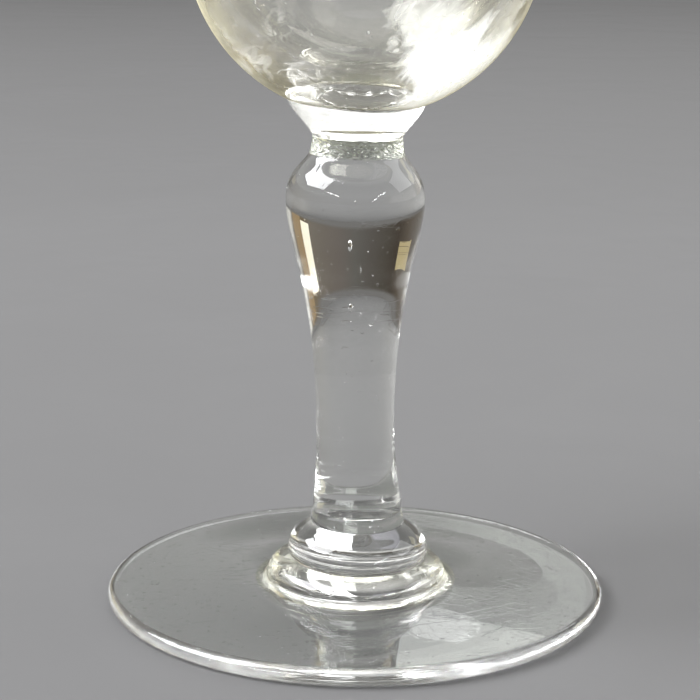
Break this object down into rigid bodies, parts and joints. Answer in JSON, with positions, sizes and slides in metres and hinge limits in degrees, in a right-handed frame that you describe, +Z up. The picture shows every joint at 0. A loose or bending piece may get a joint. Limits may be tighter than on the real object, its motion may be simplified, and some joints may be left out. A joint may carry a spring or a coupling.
{
  "type": "champagne glass",
  "caption": "Hand-made stemmed drinking glass: round-bottomed tall bowl on a solid inverted baluster stem, stacked knop and flat round foot.",
  "frame": {"origin": "middle of the foot, on the surface that the glass stands on", "axes": "+Z up along the stem's axis, -Y to the front, to which the bowl stands off the stem's axis by 1 mm, and +X to the right, to which it stands off by 0.4 mm"},
  "size_m": [0.07, 0.07, 0.1512],
  "materials": {
    "bowl_glass": "clear blown glass with a faint straw tint at the edges, polished by fire",
    "stem_glass": "clear solid glass, polished by fire, with a few seeds and fine scratches",
    "seam_glass": "greenish clear glass with a rough, tooled surface",
    "foot_glass": "clear glass, polished by fire, with fine scratches and dust"
  },
  "bodies": {
    "root": {"foot_disc": "foot_glass", "lower_knop": "foot_glass", "upper_knop": "stem_glass", "stem_wafer": "stem_glass", "baluster_stem": "stem_glass", "seam_ring": "seam_glass", "bowl_collar": "stem_glass", "bowl": "bowl_glass"}
  },
  "joints": []
}
